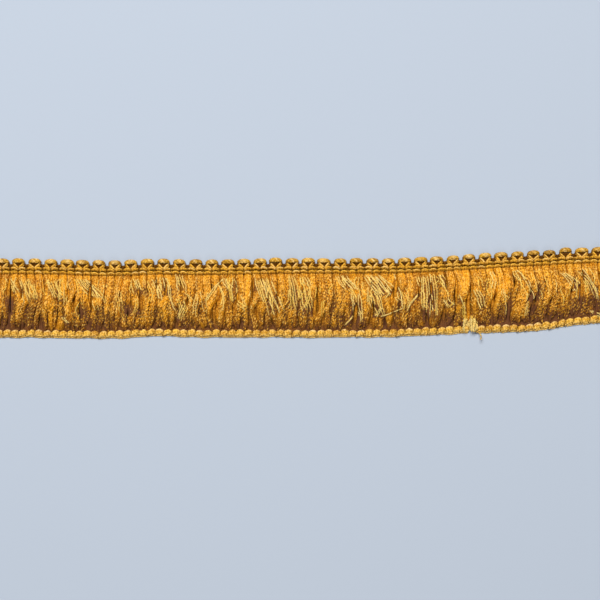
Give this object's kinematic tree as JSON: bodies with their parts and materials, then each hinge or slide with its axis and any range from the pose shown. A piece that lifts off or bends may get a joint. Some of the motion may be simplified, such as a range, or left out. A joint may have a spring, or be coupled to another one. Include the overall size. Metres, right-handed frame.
{
  "type": "brush fringe trim",
  "caption": "A furnishing trim: a crocheted heading edged with a scalloped gimp cord, and a thick brush of yarn held along its hem by a chain of stitches",
  "frame": {"origin": "the middle of the heading band's flat back, halfway along the cut length, which is where the trim is sewn or glued on", "axes": "+X runs along the trim, +Y points across it from the brush to the scalloped edge, and +Z points out of its face, away from the surface that it lies on"},
  "size_m": [0.2946, 0.0438, 0.0083],
  "materials": {
    "cord": "old gold rayon yarn wound over a cotton core, a soft silky sheen",
    "band": "old gold rayon crochet, two rows of arched stitches",
    "brush": "loose old gold rayon yarn, fuzzy and slightly crimped, bright at the heading and brown in its depth",
    "chain": "pale gold yarn in tight, rounded chain stitches"
  },
  "bodies": {
    "root": {"gimp_cord": "cord", "heading_band": "band", "brush": "brush", "holding_chain_left": "chain", "holding_chain_right": "chain"}
  },
  "joints": []
}
